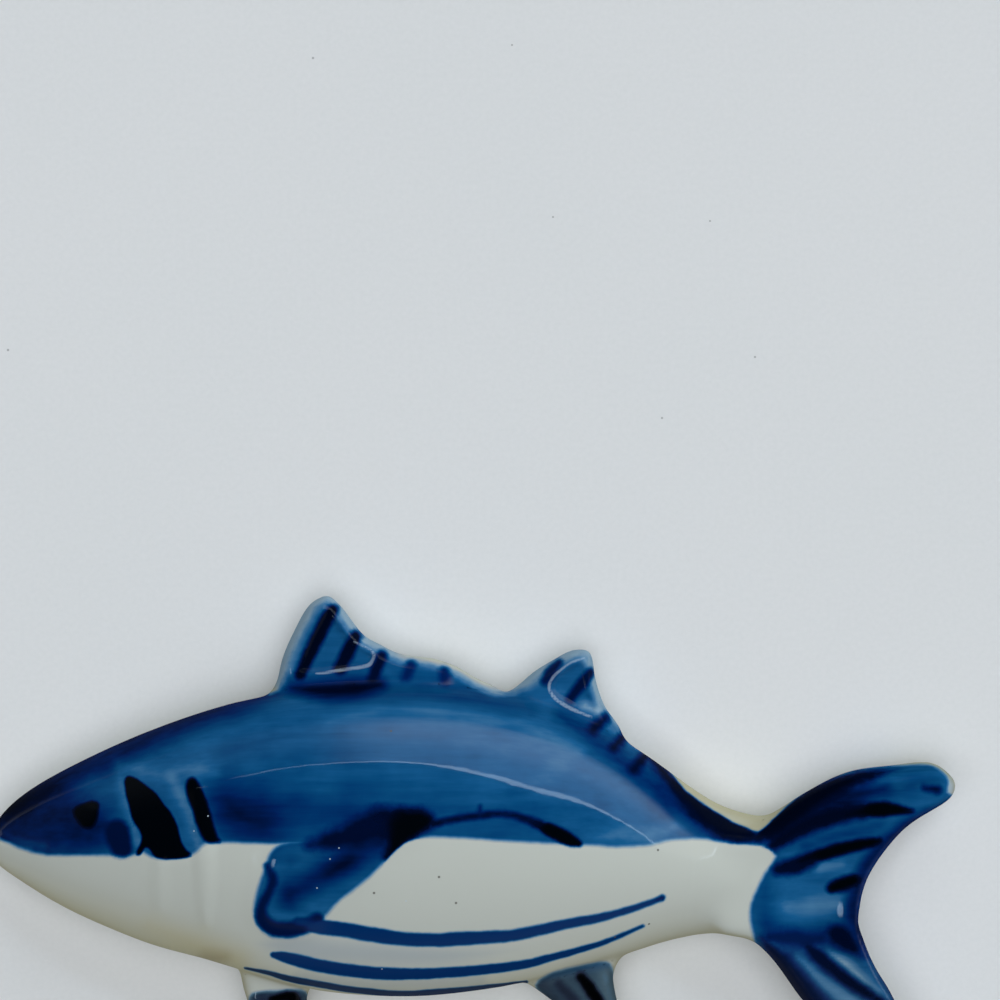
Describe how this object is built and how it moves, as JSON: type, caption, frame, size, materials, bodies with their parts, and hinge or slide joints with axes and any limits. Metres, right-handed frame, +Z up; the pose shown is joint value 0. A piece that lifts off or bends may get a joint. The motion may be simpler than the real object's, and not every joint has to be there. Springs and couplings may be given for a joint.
{
  "type": "chopstick rest",
  "caption": "Porcelain chopstick rest shaped as a fish lying on its side, with a low tail root that the chopsticks lie across.",
  "frame": {"origin": "on the table, under the middle of the whole fish", "axes": "+X from the snout to the tail, +Y from the belly to the back, +Z up from the table"},
  "size_m": [0.0749, 0.0358, 0.0143],
  "materials": {
    "glazed_porcelain": "clear glaze over white porcelain, with the back painted in cobalt",
    "cobalt_glazed_fins": "clear glaze over cobalt brushwork"
  },
  "bodies": {
    "root": {"body": "glazed_porcelain", "first_dorsal_fin": "cobalt_glazed_fins", "second_dorsal_fin": "cobalt_glazed_fins", "pectoral_fin": "cobalt_glazed_fins", "pelvic_fin": "cobalt_glazed_fins", "anal_fin": "cobalt_glazed_fins", "tail_fin": "cobalt_glazed_fins"}
  },
  "joints": []
}
